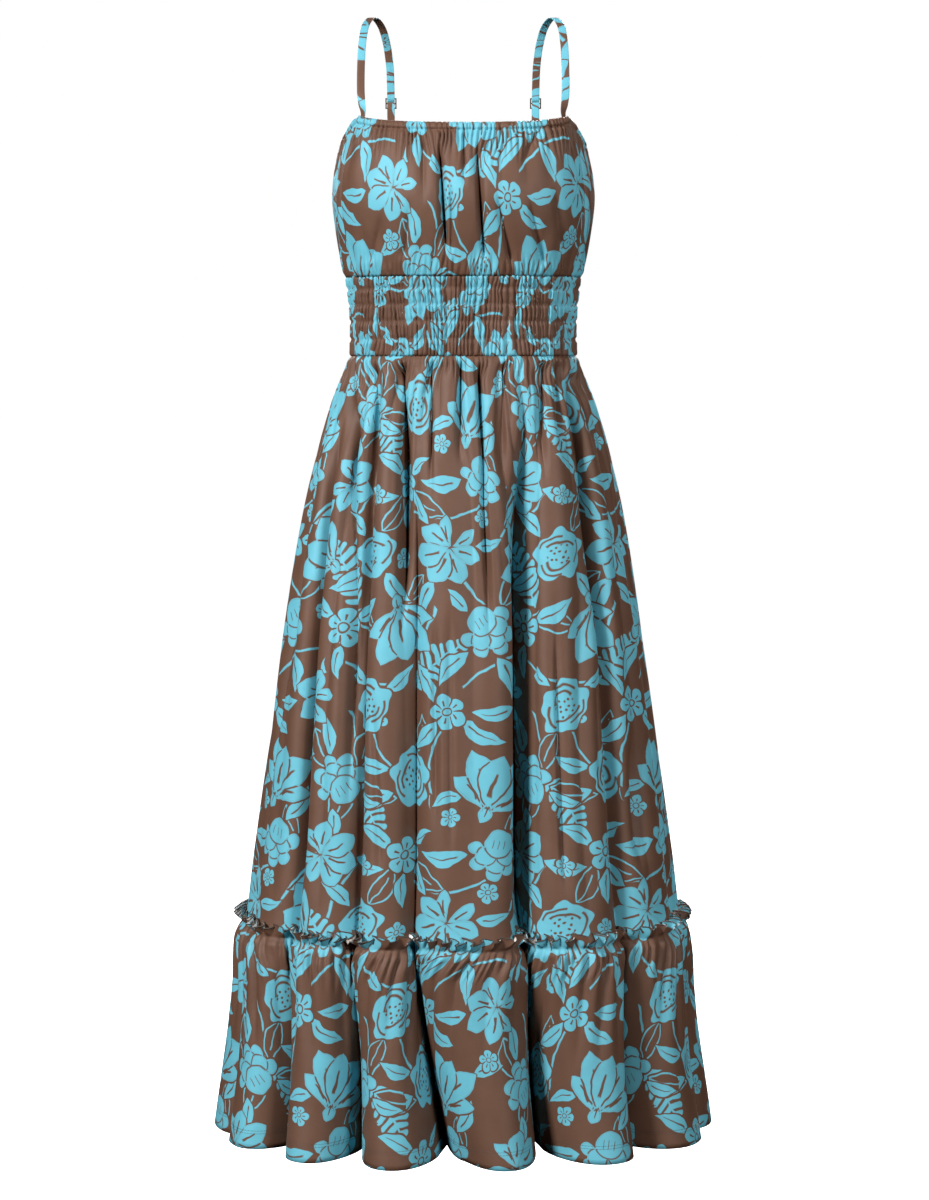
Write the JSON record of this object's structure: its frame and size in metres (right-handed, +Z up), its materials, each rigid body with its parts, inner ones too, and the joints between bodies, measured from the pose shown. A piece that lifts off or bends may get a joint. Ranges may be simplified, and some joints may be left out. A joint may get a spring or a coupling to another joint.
{
  "type": "sundress",
  "caption": "Sleeveless midi sundress in its worn shape: gathered bodice on thin straps, shirred waistband, gathered skirt and a flounce with a small frill.",
  "frame": {"origin": "midway between the tops of the two shoulder straps, where the wearer's shoulders hold the dress", "axes": "+Z up, -Y to the front of the dress, +X to the wearer's left"},
  "size_m": [0.5656, 0.4399, 1.2401],
  "materials": {
    "printed_cloth": "smooth light woven cloth with a soft sheen, brown ground printed with sky blue flowers and leaves, paler on the wrong side",
    "shirred_cloth": "the same printed cloth shirred on rows of elastic thread",
    "strap_cloth": "the same printed cloth folded into a narrow flat strap",
    "strap_hardware": "dark brown satin enamel"
  },
  "bodies": {
    "root": {"bodice_front": "printed_cloth", "bodice_back": "printed_cloth", "waistband_front": "shirred_cloth", "waistband_back": "shirred_cloth", "skirt_front": "printed_cloth", "skirt_back": "printed_cloth", "flounce_front": "printed_cloth", "flounce_back": "printed_cloth", "strap_left": "strap_cloth", "strap_right": "strap_cloth", "loop_tab_left": "strap_cloth", "loop_tab_right": "strap_cloth", "slider_left": "strap_hardware", "slider_right": "strap_hardware", "loop_left": "strap_hardware", "loop_right": "strap_hardware"}
  },
  "joints": []
}
